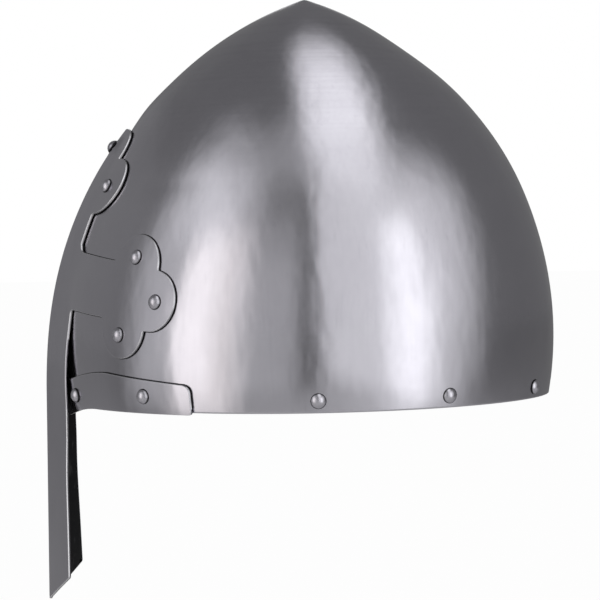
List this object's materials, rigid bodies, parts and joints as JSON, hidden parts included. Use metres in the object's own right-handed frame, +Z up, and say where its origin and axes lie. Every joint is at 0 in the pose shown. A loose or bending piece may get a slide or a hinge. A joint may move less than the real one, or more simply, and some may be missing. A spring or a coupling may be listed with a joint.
{
  "type": "conical helmet with nasal",
  "caption": "Conical steel helmet with a riveted cross-shaped nasal plate, a shaped brow band, a row of rim rivets and a leather liner with tongues inside.",
  "frame": {"origin": "middle of the opening that the head goes into, at the level of the skull's rim", "axes": "-Y to the front (the nasal), +X to the wearer's left, +Z up to the point"},
  "size_m": [0.197, 0.2554, 0.2975],
  "materials": {
    "skull_steel": "satin steel, finely brushed, with faint raising marks",
    "plate_steel": "satin steel sheet with bright cut edges",
    "rivet_steel": "polished domed heads",
    "blackened_steel": "blackened steel washers",
    "leather": "brown vegetable-tanned leather, smooth side in"
  },
  "bodies": {
    "root": {"skull": "skull_steel", "cross_nasal": "plate_steel", "brow_band": "plate_steel", "front_trefoil_rivets": "rivet_steel", "left_trefoil_rivets": "rivet_steel", "right_trefoil_rivets": "rivet_steel", "left_brow_rivets": "rivet_steel", "right_brow_rivets": "rivet_steel", "left_rim_rivets": "rivet_steel", "right_rim_rivets": "rivet_steel", "left_washers": "blackened_steel", "right_washers": "blackened_steel", "liner_band": "leather", "front_tongue": "leather", "front_left_tongue": "leather", "left_tongue": "leather", "rear_left_tongue": "leather", "rear_tongue": "leather", "rear_right_tongue": "leather", "right_tongue": "leather", "front_right_tongue": "leather"}
  },
  "joints": []
}
